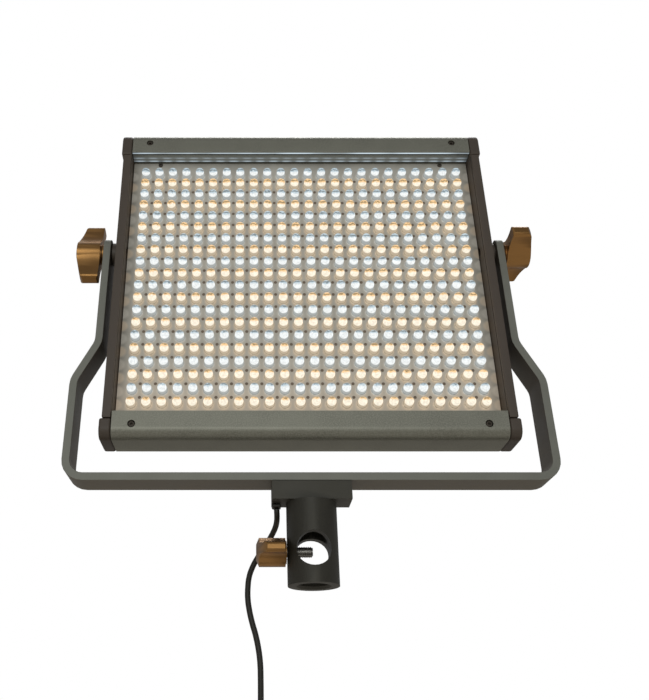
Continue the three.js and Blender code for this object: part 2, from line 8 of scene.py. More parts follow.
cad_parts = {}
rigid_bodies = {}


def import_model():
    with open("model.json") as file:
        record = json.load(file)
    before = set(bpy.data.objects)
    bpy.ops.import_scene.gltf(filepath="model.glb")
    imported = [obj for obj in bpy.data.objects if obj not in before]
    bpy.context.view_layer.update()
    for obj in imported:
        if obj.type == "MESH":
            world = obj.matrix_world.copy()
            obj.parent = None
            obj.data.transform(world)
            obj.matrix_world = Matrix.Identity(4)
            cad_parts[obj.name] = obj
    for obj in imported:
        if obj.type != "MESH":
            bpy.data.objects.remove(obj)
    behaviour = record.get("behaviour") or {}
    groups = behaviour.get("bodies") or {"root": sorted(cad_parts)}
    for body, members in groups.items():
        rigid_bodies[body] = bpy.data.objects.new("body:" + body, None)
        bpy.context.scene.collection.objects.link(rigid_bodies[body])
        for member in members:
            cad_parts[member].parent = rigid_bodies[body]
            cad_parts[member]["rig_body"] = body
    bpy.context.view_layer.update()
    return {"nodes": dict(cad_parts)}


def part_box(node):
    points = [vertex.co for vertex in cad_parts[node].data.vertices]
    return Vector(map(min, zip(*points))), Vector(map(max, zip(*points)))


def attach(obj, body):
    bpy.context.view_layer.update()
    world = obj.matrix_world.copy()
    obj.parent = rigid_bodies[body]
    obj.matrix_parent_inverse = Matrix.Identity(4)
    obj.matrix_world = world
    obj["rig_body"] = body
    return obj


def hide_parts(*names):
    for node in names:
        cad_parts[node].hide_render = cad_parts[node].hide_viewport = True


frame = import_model()
NODES = frame["nodes"]
MM = 0.001
SIDES = (("left", -1), ("right", 1))
ENDS = ("top", "bottom")


# ---------------------------------------------------------------- camera

CAMERA_PLACE = (-0.0340, -0.4476, -0.0783)
CAMERA_PITCH = math.radians(26)
CAMERA_LENS = 42.2
CAMERA_SHIFT_X = 0.1064

camera_data = bpy.data.cameras.new("camera")
camera_data.lens = CAMERA_LENS
camera_data.sensor_width = 36
camera_data.shift_x = CAMERA_SHIFT_X
camera_data.clip_start = 0.01
camera = bpy.data.objects.new("camera", camera_data)
camera.location = CAMERA_PLACE
camera.rotation_euler = (math.pi / 2 + CAMERA_PITCH, 0, 0)
bpy.context.scene.collection.objects.link(camera)
bpy.context.scene.camera = camera


# ---------------------------------------------------------------- materials

class Shader:
    """A material under construction, with its coordinates in millimetres on the piece itself."""

    def __init__(self, name):
        self.material = bpy.data.materials.new(name)
        self.material.use_nodes = True
        self.tree = self.material.node_tree
        self.tree.nodes.clear()
        self.output = self.tree.nodes.new("ShaderNodeOutputMaterial")
        coordinates = self.tree.nodes.new("ShaderNodeTexCoord")
        inputs = {0: coordinates.outputs["Object"], "Scale": 1 / MM}
        scaled = self.node("ShaderNodeVectorMath", inputs, operation="SCALE")
        self.place = scaled.outputs[0]

    def node(self, kind, inputs=None, **settings):
        made = self.tree.nodes.new(kind)
        for key, value in settings.items():
            setattr(made, key, value)
        for key, value in (inputs or {}).items():
            if isinstance(value, bpy.types.NodeSocket):
                self.tree.links.new(value, made.inputs[key])
            else:
                made.inputs[key].default_value = value
        return made

    def math(self, operation, a, b=0.0, c=0.0):
        return self.node("ShaderNodeMath", {0: a, 1: b, 2: c}, operation=operation).outputs[0]

    def noise(self, size, detail=2.0, stretch=(1, 1, 1), seed=0.0):
        """Noise from 0 to 1 whose spots are about size millimetres across, drawn out by stretch."""
        grid = tuple(1 / (size * s) for s in stretch)
        place = self.node("ShaderNodeVectorMath", {0: self.place, 1: grid}, operation="MULTIPLY").outputs[0]
        inputs = {"Vector": place, "W": seed, "Scale": 1.0, "Detail": detail}
        return self.node("ShaderNodeTexNoise", inputs, noise_dimensions="4D").outputs["Fac"]

    def span(self, value, low, high, start=0.3, end=0.7):
        """value from start to end, turned into low to high."""
        inputs = {"Value": value, "From Min": start, "From Max": end, "To Min": low, "To Max": high}
        return self.node("ShaderNodeMapRange", inputs, interpolation_type="SMOOTHSTEP").outputs[0]

    def mix(self, factor, a, b):
        return self.node("ShaderNodeMix", {0: factor, 6: a, 7: b}, data_type="RGBA").outputs[2]

    def bump(self, height, distance):
        return self.node("ShaderNodeBump", {"Height": height, "Distance": distance * MM, "Strength": 1.0}).outputs[0]

    def edges(self):
        """1 along worn outer edges, 0 elsewhere."""
        pointiness = self.node("ShaderNodeNewGeometry").outputs["Pointiness"]
        return self.span(pointiness, 0.0, 1.0, 0.52, 0.6)

    def facing(self):
        """The way the surface faces, in the object's own axes."""
        normal = self.node("ShaderNodeNewGeometry").outputs["True Normal"]
        own = self.node("ShaderNodeVectorTransform", {0: normal}, vector_type="NORMAL",
                        convert_from="WORLD", convert_to="OBJECT").outputs[0]
        return self.node("ShaderNodeSeparateXYZ", {0: own}).outputs

    def finish(self, shader):
        self.tree.links.new(shader, self.output.inputs["Surface"])
        return self.material


def rgba(color, factor=1.0):
    return tuple(c * factor for c in color) + (1.0,)


def coated(name, color, roughness, metallic=0.0, grain=0.35, bump=0.02, mottle=0.12, lines=None, wear=0.0,
           shaded_flats=None):
    """A hard surface: mottled colour, grain in its roughness and bump, and if asked for drawn lines, lighter edges
    and painted shade: a darker colour on the faces that don't look to the front or back."""
    s = Shader(name)
    cloud = s.noise(14.0, 3.0)
    fine = s.noise(grain, 2.0)
    base = s.mix(s.span(cloud, 0, 1), rgba(color, 1 - mottle), rgba(color, 1 + mottle))
    base = s.mix(s.span(fine, 0, 1), base, rgba(color, 1 + 1.5 * mottle))
    height = fine
    if lines is not None:
        drawn = s.noise(0.5, 2.0, lines)
        base = s.mix(s.math("MULTIPLY", s.span(drawn, 0, 1), 0.5), base, rgba(color, 1.25))
        height = s.math("ADD", s.math("MULTIPLY", fine, 0.4), drawn)
    if shaded_flats is not None:
        # painted shade: faces that don't look to the front or back take a darker colour
        aside_shade = s.span(s.math("ABSOLUTE", s.facing()["Y"]), 1.0, 0.0, 0.4, 0.85)
        base = s.mix(aside_shade, base, s.mix(s.span(cloud, 0, 1), rgba(shaded_flats, 1 - mottle), rgba(shaded_flats, 1 + mottle)))
    if wear:
        base = s.mix(s.math("MULTIPLY", s.edges(), wear), base, rgba(color, 2.2))
    rough = s.span(s.math("ADD", s.math("MULTIPLY", cloud, 0.5), s.math("MULTIPLY", fine, 0.5)),
                   roughness - 0.07, roughness + 0.07)
    shader = s.node("ShaderNodeBsdfPrincipled", {
        "Base Color": base, "Roughness": rough, "Metallic": metallic,
        "Normal": s.bump(height, bump)})
    return s.finish(shader.outputs[0])


LAMP_PITCH = 9.0


def lamp_light(name, bright, shade, line, foot):
    """A lit lamp: nearly white below, shaded with dark arcs above, tinted at its outline and dim at its foot.
    The object's colour says how far up the lamp's row sits, and so how much of the shaded part shows."""
    s = Shader(name)
    share = s.node("ShaderNodeSeparateColor", {0: s.node("ShaderNodeObjectInfo").outputs["Color"]}).outputs[0]
    seed = s.math("MULTIPLY", share, 37.0)
    parts = s.node("ShaderNodeSeparateXYZ", {0: s.place})
    upward = s.math("ADD", s.math("MULTIPLY", parts.outputs["Z"], 0.85),
                    s.math("MULTIPLY", s.math("ADD", parts.outputs["Y"], 7.0), -0.5))
    lean = s.math("MULTIPLY", s.math("SUBTRACT", s.noise(11.0, 1.0, seed=seed), 0.5), 2.2)
    crumple = s.math("MULTIPLY", s.math("SUBTRACT", s.noise(1.5, 3.0, seed=seed), 0.5), 2.4)
    height = s.math("ADD", s.math("ADD", upward, lean), s.math("SUBTRACT", crumple, s.span(share, 1.1, -0.25, 0, 1)))
    arcs = s.math("SINE", s.math("ADD", s.math("MULTIPLY", height, 3.6), crumple))
    upper = s.mix(s.span(arcs, 0, 1, -0.7, 0.8), rgba(shade, 0.55), rgba(shade, 1.5))
    lower = s.mix(s.span(s.noise(1.0, 2.0, seed=seed), 0, 1), rgba(bright, 0.8), rgba(bright, 1.06))
    color = s.mix(s.span(height, 0, 1, -0.3, 0.55), lower, upper)
    rim = s.node("ShaderNodeLayerWeight", {"Blend": 0.35}).outputs["Facing"]
    color = s.mix(s.span(rim, 0, 0.8, 0.5, 0.85), color, rgba(line))
    color = s.mix(s.span(parts.outputs["Y"], 0.0, 0.9, -7.2, -5.6), color, rgba(foot))
    shader = s.node("ShaderNodeBsdfPrincipled", {
        "Base Color": rgba(shade, 0.3), "Roughness": s.span(s.noise(1.1), 0.08, 0.16),
        "Emission Color": color, "Emission Strength": 1.0, "Normal": s.bump(s.noise(1.4), 0.04)})
    return s.finish(shader.outputs[0])


def lamp_flange_glow(name, color, line):
    """The flat ring at a lamp's foot, glowing with the lamp's light painted onto it: dim, with a brighter painted
    outline.
    """
    s = Shader(name)
    parts = s.node("ShaderNodeSeparateXYZ", {0: s.place})
    column = s.math("ADD", s.math("DIVIDE", parts.outputs["X"], LAMP_PITCH), 0.5)
    across = s.math("MULTIPLY", s.math("SUBTRACT", column, s.math("ROUND", column)), LAMP_PITCH)
    squares = s.math("ADD", s.math("MULTIPLY", across, across),
                     s.math("MULTIPLY", parts.outputs["Z"], parts.outputs["Z"]))
    # painted light: the ring's outline glows brighter than the rest
    outline = s.span(s.math("SQRT", squares), 0, 1, 2.95, 3.1)
    uneven_glow = s.span(s.noise(1.6), 0.75, 1.2)
    shader = s.node("ShaderNodeBsdfPrincipled", {
        "Base Color": rgba(color, 0.5), "Roughness": s.span(s.noise(1.1), 0.2, 0.3),
        "Emission Color": s.mix(outline, rgba(color), rgba(line)), "Emission Strength": uneven_glow})
    return s.finish(shader.outputs[0])


def bar_material():
    """Grey anodised aluminium; the underside of the top bar carries a painted glow of the lamps below it, with a
    painted highlight along its front lip and painted patches of light in two bands.
    """
    color = (0.222, 0.223, 0.187)
    s = Shader("aluminium_bars")
    cloud = s.noise(16.0, 3.0)
    fine = s.noise(0.7, 3.0)
    base = s.mix(s.span(cloud, 0, 1), rgba(color, 0.92), rgba(color, 1.08))
    base = s.mix(s.span(fine, 0, 1, 0.42, 0.62), base, rgba(color, 1.35))
    base = s.mix(s.math("MULTIPLY", s.edges(), 0.15), base, rgba(color, 1.8))
    parts = s.node("ShaderNodeSeparateXYZ", {0: s.place})
    screw_low, screw_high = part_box("bar_screw_top_right")
    underside = s.math("MULTIPLY", s.math("LESS_THAN", s.facing()["Z"], -0.6),
                       s.math("GREATER_THAN", parts.outputs["Z"], 250.0))
    below_screws = s.math("LESS_THAN", parts.outputs["Z"], (screw_low.z + screw_high.z) / 2 / MM)
    underside = s.math("MULTIPLY", underside, below_screws)
    depth = parts.outputs["Y"]
    wave = s.math("ABSOLUTE", s.math("COSINE", s.math("MULTIPLY", parts.outputs["X"], math.pi / LAMP_PITCH)))
    # painted light: patches of lamp light, one per lamp column
    lit_patches = s.span(s.math("ADD", wave, s.math("MULTIPLY", s.noise(5.0), 0.8)), 0.35, 1.15, 0.6, 1.5)

    def band(low, high, soft=0.25):
        rise = s.span(depth, 0.0, 1.0, low - soft, low + soft)
        fall = s.span(depth, 1.0, 0.0, high - soft, high + soft)
        return s.math("MULTIPLY", rise, fall)

    # painted highlight along the front lip, and a faint painted glow across the ledge
    lip_highlight = s.math("MULTIPLY", band(-13.2, -11.9), s.span(s.noise(22.0, 1.0), 0.35, 0.8))
    glow = s.math("ADD", lip_highlight, s.math("MULTIPLY", band(-10.4, -3.6), 0.03))
    for low, high, amount in ((-8.2, -6.6, 0.2), (-5.1, -3.8, 0.36)):
        glow = s.math("ADD", glow, s.math("MULTIPLY", s.math("MULTIPLY", band(low, high), lit_patches), amount))
    glow = s.math("MULTIPLY", glow, underside)
    height = s.math("ADD", s.math("MULTIPLY", fine, 0.5), s.noise(0.35, 2.0))
    shader = s.node("ShaderNodeBsdfPrincipled", {
        "Base Color": base, "Roughness": s.span(fine, 0.36, 0.52, 0.3, 0.7), "Metallic": 0.6,
        "Emission Color": rgba((0.66, 0.80, 0.92)), "Emission Strength": glow,
        "Normal": s.bump(height, 0.05)})
    return s.finish(shader.outputs[0])


ALUMINIUM = bar_material()
SIDE_PLASTIC = coated("side_plastic", (0.072, 0.056, 0.043), 0.5, grain=0.4, bump=0.03, mottle=0.12, wear=0.3)
REAR_PLASTIC = coated("rear_plastic", (0.040, 0.039, 0.037), 0.55, grain=0.6, bump=0.06, mottle=0.15, wear=0.3)
CONTROL_PLASTIC = coated("control_plastic", (0.025, 0.025, 0.025), 0.42, grain=0.5, bump=0.02, mottle=0.15, wear=0.3)
# the darker brown on the bracket's side faces is painted shade
BRACKET_METAL = coated("bracket_metal", (0.200, 0.205, 0.178), 0.48, 0.2, grain=0.5, bump=0.03, mottle=0.1,
                       lines=(40, 1, 40), wear=0.3, shaded_flats=(0.118, 0.102, 0.078))
RECEIVER_METAL = coated("receiver_metal", (0.034, 0.032, 0.024), 0.5, 0.2, grain=0.5, bump=0.05, mottle=0.18,
                        wear=0.4)
BRONZE = coated("bronze_knobs", (0.25, 0.133, 0.046), 0.36, 0.9, grain=0.35, bump=0.02, mottle=0.12, wear=0.5)
STEEL = coated("bright_steel", (0.45, 0.44, 0.41), 0.3, 0.95, grain=0.3, bump=0.01, mottle=0.12)
DARK_STEEL = coated("dark_steel", (0.07, 0.058, 0.046), 0.6, 0.4, grain=0.3, bump=0.02, mottle=0.15)
CONTACT_GOLD = coated("contact_gold", (0.75, 0.52, 0.2), 0.28, 0.95, grain=0.3, bump=0.01, mottle=0.08)
CORD_RUBBER = coated("cord_rubber", (0.020, 0.019, 0.014), 0.5, grain=0.5, bump=0.03, mottle=0.15)
CIRCUIT = coated("circuit_board", (0.025, 0.10, 0.045), 0.4, grain=0.6, bump=0.02, mottle=0.2)
MARK_PAINT = coated("mark_paint", (0.62, 0.62, 0.60), 0.5, grain=0.3, bump=0.005, mottle=0.06)
# painted shade: dark discs stand in for the shade inside the board's plated holes
HOLE_SHADE = coated("board_hole", (0.165, 0.130, 0.098), 0.6, grain=0.3, bump=0.02, mottle=0.2)
TIE_FABRIC = coated("tie_fabric", (0.03, 0.03, 0.03), 0.85, grain=0.25, bump=0.15, mottle=0.25)

TONES = {
    "cool": (lamp_light("cool_dome", (0.90, 0.93, 0.93), (0.32, 0.39, 0.43), (0.46, 0.53, 0.57), (0.27, 0.29, 0.29)),
             lamp_flange_glow("cool_flange", (0.22, 0.22, 0.20), (0.42, 0.43, 0.41))),
    "warm": (lamp_light("warm_dome", (1.0, 0.93, 0.78), (0.60, 0.40, 0.20), (0.80, 0.55, 0.30), (0.38, 0.31, 0.22)),
             lamp_flange_glow("warm_flange", (0.25, 0.21, 0.16), (0.50, 0.41, 0.29))),
}


# ---------------------------------------------------------------- pieces

def add_object(name, data):
    made = bpy.data.objects.new(name, data)
    bpy.context.scene.collection.objects.link(made)
    return made


def from_bmesh(name, bm, *materials):
    mesh = bpy.data.meshes.new(name)
    bm.normal_update()
    bm.to_mesh(mesh)
    bm.free()
    for material in materials:
        mesh.materials.append(material)
    return add_object(name, mesh)


def baked(piece):
    """piece with its modifiers applied."""
    graph = bpy.context.evaluated_depsgraph_get()
    graph.update()
    mesh = bpy.data.meshes.new_from_object(piece.evaluated_get(graph))
    piece.modifiers.clear()
    piece.data = mesh
    return piece


def softened(piece, bevel, segments=2, angle=32):
    """piece with its sharp edges rounded by bevel millimetres, shaded smoothly across them."""
    if bevel:
        rounding = piece.modifiers.new("bevel", "BEVEL")
        rounding.width = bevel * MM
        rounding.segments = segments
        rounding.limit_method = "ANGLE"
        rounding.angle_limit = math.radians(angle)
        rounding.use_clamp_overlap = True
        baked(piece)
    piece.data.shade_smooth()
    piece.data.set_sharp_from_angle(angle=math.radians(46))
    weighted = piece.modifiers.new("weighted", "WEIGHTED_NORMAL")
    weighted.keep_sharp = True
    return baked(piece)


def copied(node, name, material):
    """A new mesh with a CAD node's outline, its triangles joined into whole faces."""
    bm = bmesh.new()
    bm.from_mesh(NODES[node].data)
    for face in bm.faces:
        face.material_index = 0
    bmesh.ops.remove_doubles(bm, verts=bm.verts, dist=2e-6)
    bmesh.ops.dissolve_limit(bm, angle_limit=math.radians(0.6), verts=bm.verts, edges=bm.edges)
    return from_bmesh(name, bm, material)


def stands_for(piece, slot, *nodes):
    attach(piece, NODES[nodes[0]]["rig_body"])
    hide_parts(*nodes)
    return piece


def added(piece, body):
    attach(piece, body)
    return piece


def refined(node, slot, material, bevel, segments=2):
    piece = softened(copied(node, node + "_fine", material), bevel, segments)
    return stands_for(piece, slot, node)


def ring_of(bm, axis, centre, radius, height, count, phase=0.0):
    """One ring of vertices round an axis, in millimetres. Along Y the ring turns the other way to face out."""
    ring = []
    for i in range(count):
        angle = 2 * math.pi * i / count + phase
        u, v = radius * math.cos(angle), radius * math.sin(angle)
        point = {"x": (height, u, v), "y": (v, height, u), "z": (u, v, height)}[axis]
        ring.append(bm.verts.new([(p + c) * MM for p, c in zip(point, centre)]))
    return ring


def lathe_into(bm, axis, centre, profile, count, material_at=None):
    """Adds a closed solid of revolution. profile lists (radius, height) from end to end, in millimetres."""
    rings = [ring_of(bm, axis, centre, radius, height, count) for radius, height in profile]
    upward = profile[-1][1] > profile[0][1]
    for index, (low, high) in enumerate(zip(rings, rings[1:])):
        for i in range(count):
            j = (i + 1) % count
            corners = [low[i], low[j], high[j], high[i]]
            face = bm.faces.new(corners if upward else corners[::-1])
            face.material_index = material_at(index) if material_at else 0
    start = bm.faces.new(rings[0][::-1] if upward else rings[0])
    end = bm.faces.new(rings[-1] if upward else rings[-1][::-1])
    start.material_index = material_at(0) if material_at else 0
    end.material_index = material_at(len(rings) - 2) if material_at else 0


def bridged(bm, rings, closed=False):
    """Faces from each ring of vertices to the next, back to the first if closed, or with both ends capped."""
    for a, b in zip(rings, rings[1:] + rings[:1] if closed else rings[1:]):
        for i in range(len(a)):
            j = (i + 1) % len(a)
            bm.faces.new((a[i], a[j], b[j], b[i]))
    if not closed:
        bm.faces.new(rings[0][::-1])
        bm.faces.new(rings[-1])


def turned(name, axis, centre, profile, count, material):
    bm = bmesh.new()
    lathe_into(bm, axis, centre, profile, count)
    return from_bmesh(name, bm, material)


def block_into(bm, low, high):
    """Adds a box between two corners, in millimetres."""
    size = [(h - l) * MM for l, h in zip(low, high)]
    centre = [(h + l) / 2 * MM for l, h in zip(low, high)]
    bmesh.ops.create_cube(bm, size=1, matrix=Matrix.Translation(centre) @ Matrix.Diagonal((*size, 1)))


def carved(piece, tool):
    """piece with tool cut out of it."""
    cut = piece.modifiers.new("cut", "BOOLEAN")
    cut.operation = "DIFFERENCE"
    cut.solver = "EXACT"
    cut.object = tool
    baked(piece)
    bpy.data.objects.remove(tool)
    return piece


# ---------------------------------------------------------------- lead

CORD_DIAMETER = 3.2
LEAD_ROUTE = [
    (-19.2, 1.5, 42.3), (-19.1, 1.9, 40.6), (-19, 3.6, 38.4), (-19.1, 7, 36.4), (-19.7, 10.6, 34.4),
    (-21.2, 14, 31.6), (-23.6, 16.7, 28), (-26.6, 18.4, 23.8), (-29.8, 19, 19), (-32.6, 18.8, 13.8),
    (-34.5, 18.1, 8.2), (-35.2, 17.4, 2.1), (-35.2, 17, -3.5), (-34.4, 17, -9.5), (-32.9, 17, -16),
    (-31, 17, -22.5), (-29.5, 17, -29.5), (-28.6, 16.6, -37), (-28.4, 15.6, -45), (-28.4, 14.2, -52),
    (-28.4, 13, -58), (-28.4, 12.5, -63.8),
]
COIL_CENTRE = Vector((-28.4, 17, -88))
COIL_LAYERS = (21.6, 18.4, 15.2)
TURNS_PER_LAYER = 4
POINTS_PER_TURN = 16
COIL_START = math.radians(60)
TAIL = [(-6.8, 25, -92), (-6.8, 25, -98), (-6.8, 25, -105), (-6.8, 25, -112), (-6.8, 25, -117.9)]


def eased(value):
    t = min(max(value, 0.0), 1.0)
    return t * t * (3 - 2 * t)


def coil_point(turn):
    """The lead's centre after so many turns: four turns side by side in each of three layers, outermost first."""
    last = TURNS_PER_LAYER * len(COIL_LAYERS)
    layer = min(int(turn / TURNS_PER_LAYER), len(COIL_LAYERS) - 1)
    inside = turn - layer * TURNS_PER_LAYER
    whole = min(int(inside), TURNS_PER_LAYER - 1)
    shift = eased((inside - whole - 0.72) / 0.28)
    radius = COIL_LAYERS[layer]
    step = whole
    if whole < TURNS_PER_LAYER - 1:
        step += shift
    elif layer < len(COIL_LAYERS) - 1:
        radius += shift * (COIL_LAYERS[layer + 1] - radius)
    else:
        step += shift
        radius += eased((turn - last) / 0.16) * (COIL_LAYERS[0] - radius)
    offset = (step if layer % 2 == 0 else TURNS_PER_LAYER - 1 - step) - (TURNS_PER_LAYER - 1) / 2
    angle = COIL_START - 2 * math.pi * turn
    return (COIL_CENTRE.x + radius * math.cos(angle), COIL_CENTRE.y + offset * CORD_DIAMETER,
            COIL_CENTRE.z + radius * math.sin(angle))


def cord_points():
    above = [(-28.0, 12.3, -65.6), (-25.6, 12.2, -67.6), (-21.8, 12.2, -68.3)]
    turns = TURNS_PER_LAYER * len(COIL_LAYERS) + 1 / 6
    count = round(turns * POINTS_PER_TURN)
    coil = [coil_point(turns * i / count) for i in range(count + 1)]
    return LEAD_ROUTE[:-1] + above + coil + TAIL


def make_cord():
    points = cord_points()
    curve = bpy.data.curves.new("power_lead", "CURVE")
    curve.dimensions = "3D"
    curve.bevel_depth = CORD_DIAMETER / 2 * MM
    curve.bevel_resolution = 4
    curve.resolution_u = 6
    curve.use_fill_caps = True
    spline = curve.splines.new("BEZIER")
    spline.bezier_points.add(len(points) - 1)
    for knot, point in zip(spline.bezier_points, points):
        knot.co = Vector(point) * MM
        knot.handle_left_type = "AUTO"
        knot.handle_right_type = "AUTO"
    curve.materials.append(CORD_RUBBER)
    return add_object("power_lead", curve)


def make_tie():
    """A hook-and-loop strap round the bundle, near its top."""
    bm = bmesh.new()
    half_width = 4.5
    inner = (13.45, 23.35, 10.45, 23.55)
    thickness = 0.55
    corner = 2.4
    angle = math.radians(118)
    out = Vector((math.cos(angle), 0, math.sin(angle)))
    along = Vector((-math.sin(angle), 0, math.cos(angle)))
    loops = []
    for grow in (0.0, -thickness):
        r0, r1, y0, y1 = inner[0] - grow, inner[1] + grow, inner[2] - grow, inner[3] + grow
        outline = []
        for cr, cy, start in ((r1, y1, 0), (r0, y1, 1), (r0, y0, 2), (r1, y0, 3)):
            cr_in = cr - corner if cr == r1 else cr + corner
            cy_in = cy - corner if cy == y1 else cy + corner
            for k in range(6):
                a = math.pi / 2 * (start + k / 5)
                outline.append((cr_in + corner * math.cos(a), cy_in + corner * math.sin(a)))
        loops.append(outline)
    rows = []
    for outline, side in ((loops[0], -1), (loops[0], 1), (loops[1], 1), (loops[1], -1)):
        row = []
        for r, y in outline:
            place = out * r + along * (side * half_width) + Vector((COIL_CENTRE.x, y, COIL_CENTRE.z))
            row.append(bm.verts.new(place * MM))
        rows.append(row)
    bridged(bm, rows, closed=True)
    bmesh.ops.recalc_face_normals(bm, faces=bm.faces)
    return softened(from_bmesh("coil_tie", bm, TIE_FABRIC), 0.15)


def make_plug():
    """A moulded barrel plug: ribbed strain relief, grip with shallow rings, metal sleeve with its hole."""
    low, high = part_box("dc_plug")
    x, y = (low.x + high.x) / 2 / MM, (low.y + high.y) / 2 / MM
    bottom, top = low.z / MM, high.z / MM
    profile = [(3.4, bottom + 9.6), (4.3, bottom + 9.6), (4.8, bottom + 10.2)]
    for i in range(5):
        z = bottom + 11.5 + 2.2 * i
        profile += [(4.95, z), (4.95, z + 1.2), (4.6, z + 1.45), (4.6, z + 1.95)]
    profile += [(4.8, bottom + 22.7), (3.3, bottom + 24.8)]
    z = bottom + 25.2
    while z < top - 1.6:
        profile += [(3.0, z), (3.0, z + 0.8), (2.3, z + 1.0), (2.3, z + 1.5)]
        z += 1.7
    profile += [(2.4, top - 0.4), (1.7, top)]
    grip = softened(turned("plug_grip", "z", (x, y, 0), profile, 32, CORD_RUBBER), 0)
    sleeve_profile = [(1.15, bottom + 9.8), (1.15, bottom + 0.6), (1.35, bottom + 0.05), (2.5, bottom + 0.05),
                      (2.72, bottom + 0.4), (2.72, bottom + 9.8)]
    bm = bmesh.new()
    rings = [ring_of(bm, "z", (x, y, 0), r, h, 32) for r, h in sleeve_profile]
    bridged(bm, rings, closed=True)
    bmesh.ops.recalc_face_normals(bm, faces=bm.faces)
    sleeve = softened(from_bmesh("plug_sleeve", bm, STEEL), 0)
    return grip, sleeve


lead = stands_for(make_cord(), "cord_rubber", "cord_lead", "cord_coil", "cord_tail")
tie = added(make_tie(), "bracket")
plug_grip, plug_sleeve = make_plug()
stands_for(plug_grip, "cord_rubber", "dc_plug")
added(plug_sleeve, "bracket")
refined("cord_gland", "cord_rubber", CORD_RUBBER, 0.7, 3)


# ---------------------------------------------------------------- housing

for end in ENDS:
    refined(f"{end}_bar", "aluminium_bars", ALUMINIUM, 0.35)
    for side, _ in SIDES:
        refined(f"corner_cap_{end}_{side}", "side_plastic", SIDE_PLASTIC, 1.3, 4)
for side, _ in SIDES:
    refined(f"side_rail_{side}", "side_plastic", SIDE_PLASTIC, 0.4)


def make_bar_screw(node):
    """A countersunk head with a hexagon socket."""
    low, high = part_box(node)
    x, z = (low.x + high.x) / 2 / MM, (low.z + high.z) / 2 / MM
    front, back = low.y / MM, high.y / MM
    profile = [(1.25, back), (1.3, front + 2.8), (1.85, front + 2.0), (1.85, front + 0.3), (1.6, front)]
    screw = turned(node + "_fine", "y", (x, 0, z), profile, 28, DARK_STEEL)
    socket = turned("socket", "y", (x, 0, z), [(0.95, front + 1.3), (0.95, front - 1)], 6, DARK_STEEL)
    return stands_for(softened(carved(screw, socket), 0), "dark_steel", node)


for end in ENDS:
    for side, _ in SIDES:
        make_bar_screw(f"bar_screw_{end}_{side}")


# ---------------------------------------------------------------- light engine

LED_COLUMNS = 24
LED_ROWS = 20
board_low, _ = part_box("led_board")
first_row_low, first_row_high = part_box("cool_led_row_01")
last_row_low, last_row_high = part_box("warm_led_row_20")
LED_TOP_Z = (first_row_low.z + first_row_high.z) / 2 / MM
LED_PITCH_Z = (LED_TOP_Z - (last_row_low.z + last_row_high.z) / 2 / MM) / (LED_ROWS - 1)
LED_HALF_SPAN = (first_row_high.x - first_row_low.x) / 2 / MM - 2.5
LED_PITCH_X = 2 * LED_HALF_SPAN / (LED_COLUMNS - 1)
BOARD_Y = board_low.y / MM
TIP_Y = first_row_low.y / MM
DOME_RADIUS = 2.7
FLANGE_RADIUS = 3.2


def board_material():
    """Pale solder mask with the lamps' light painted on as glow: pooled below each one, cool and warm by row,
    brighter and warmer towards the bottom rows, dim towards its margins.
    """
    s = Shader("led_board")
    parts = s.node("ShaderNodeSeparateXYZ", {0: s.place})
    column = s.math("DIVIDE", s.math("ADD", parts.outputs["X"], LED_HALF_SPAN), LED_PITCH_X)
    row = s.math("DIVIDE", s.math("SUBTRACT", LED_TOP_Z - 0.6, parts.outputs["Z"]), LED_PITCH_Z)
    dx = s.math("MULTIPLY", s.math("SUBTRACT", column, s.math("ROUND", column)), LED_PITCH_X)
    dz = s.math("MULTIPLY", s.math("SUBTRACT", row, s.math("ROUND", row)), LED_PITCH_Z)
    distance = s.math("SQRT", s.math("ADD", s.math("MULTIPLY", dx, dx), s.math("MULTIPLY", dz, dz)))
    warm = s.math("FLOORED_MODULO", s.math("ROUND", row), 2.0)
    beside = s.math("SUBTRACT", s.math("ABSOLUTE", parts.outputs["X"]), LED_HALF_SPAN)
    lamps = s.math("MULTIPLY", s.span(row, 0.0, 1.0, -0.8, -0.4),
                   s.span(row, 1.0, 0.0, LED_ROWS - 0.6, LED_ROWS - 0.2))
    # painted glow over the lamp field, fading towards the board's margins
    inside = s.math("MULTIPLY", s.span(beside, 1.0, 0.0, 1.5, 8.0), s.span(row, 0.25, 1.0, -1.3, -0.5))
    pool = s.math("MULTIPLY", s.span(distance, 1.0, 0.0, 2.6, 4.6), lamps)
    sheen = s.span(s.noise(9.0, 3.0), 0.0, 1.0)
    base = s.mix(sheen, rgba((0.24, 0.23, 0.20)), rgba((0.31, 0.30, 0.26)))
    # painted warm glow towards the bottom rows
    foot = s.span(row, 0.0, 1.0, LED_ROWS - 6.0, LED_ROWS - 0.6)
    light = s.mix(s.math("MULTIPLY", warm, pool), rgba((0.55, 0.52, 0.46)), rgba((0.66, 0.50, 0.34)))
    light = s.mix(s.math("MULTIPLY", foot, 0.7), light, rgba((0.66, 0.52, 0.38)))
    strength = s.math("ADD", s.math("MULTIPLY", pool, 0.14), s.math("MULTIPLY", inside, 0.20))
    strength = s.math("ADD", strength, s.math("MULTIPLY", foot, 0.10))
    strength = s.math("ADD", strength, s.span(s.noise(30.0, 1.0), 0.05, 0.09))
    shader = s.node("ShaderNodeBsdfPrincipled", {
        "Base Color": base, "Roughness": s.span(sheen, 0.38, 0.5, 0, 1),
        "Emission Color": light, "Emission Strength": strength,
        "Normal": s.bump(s.noise(0.5, 2.0), 0.01)})
    return s.finish(shader.outputs[0])


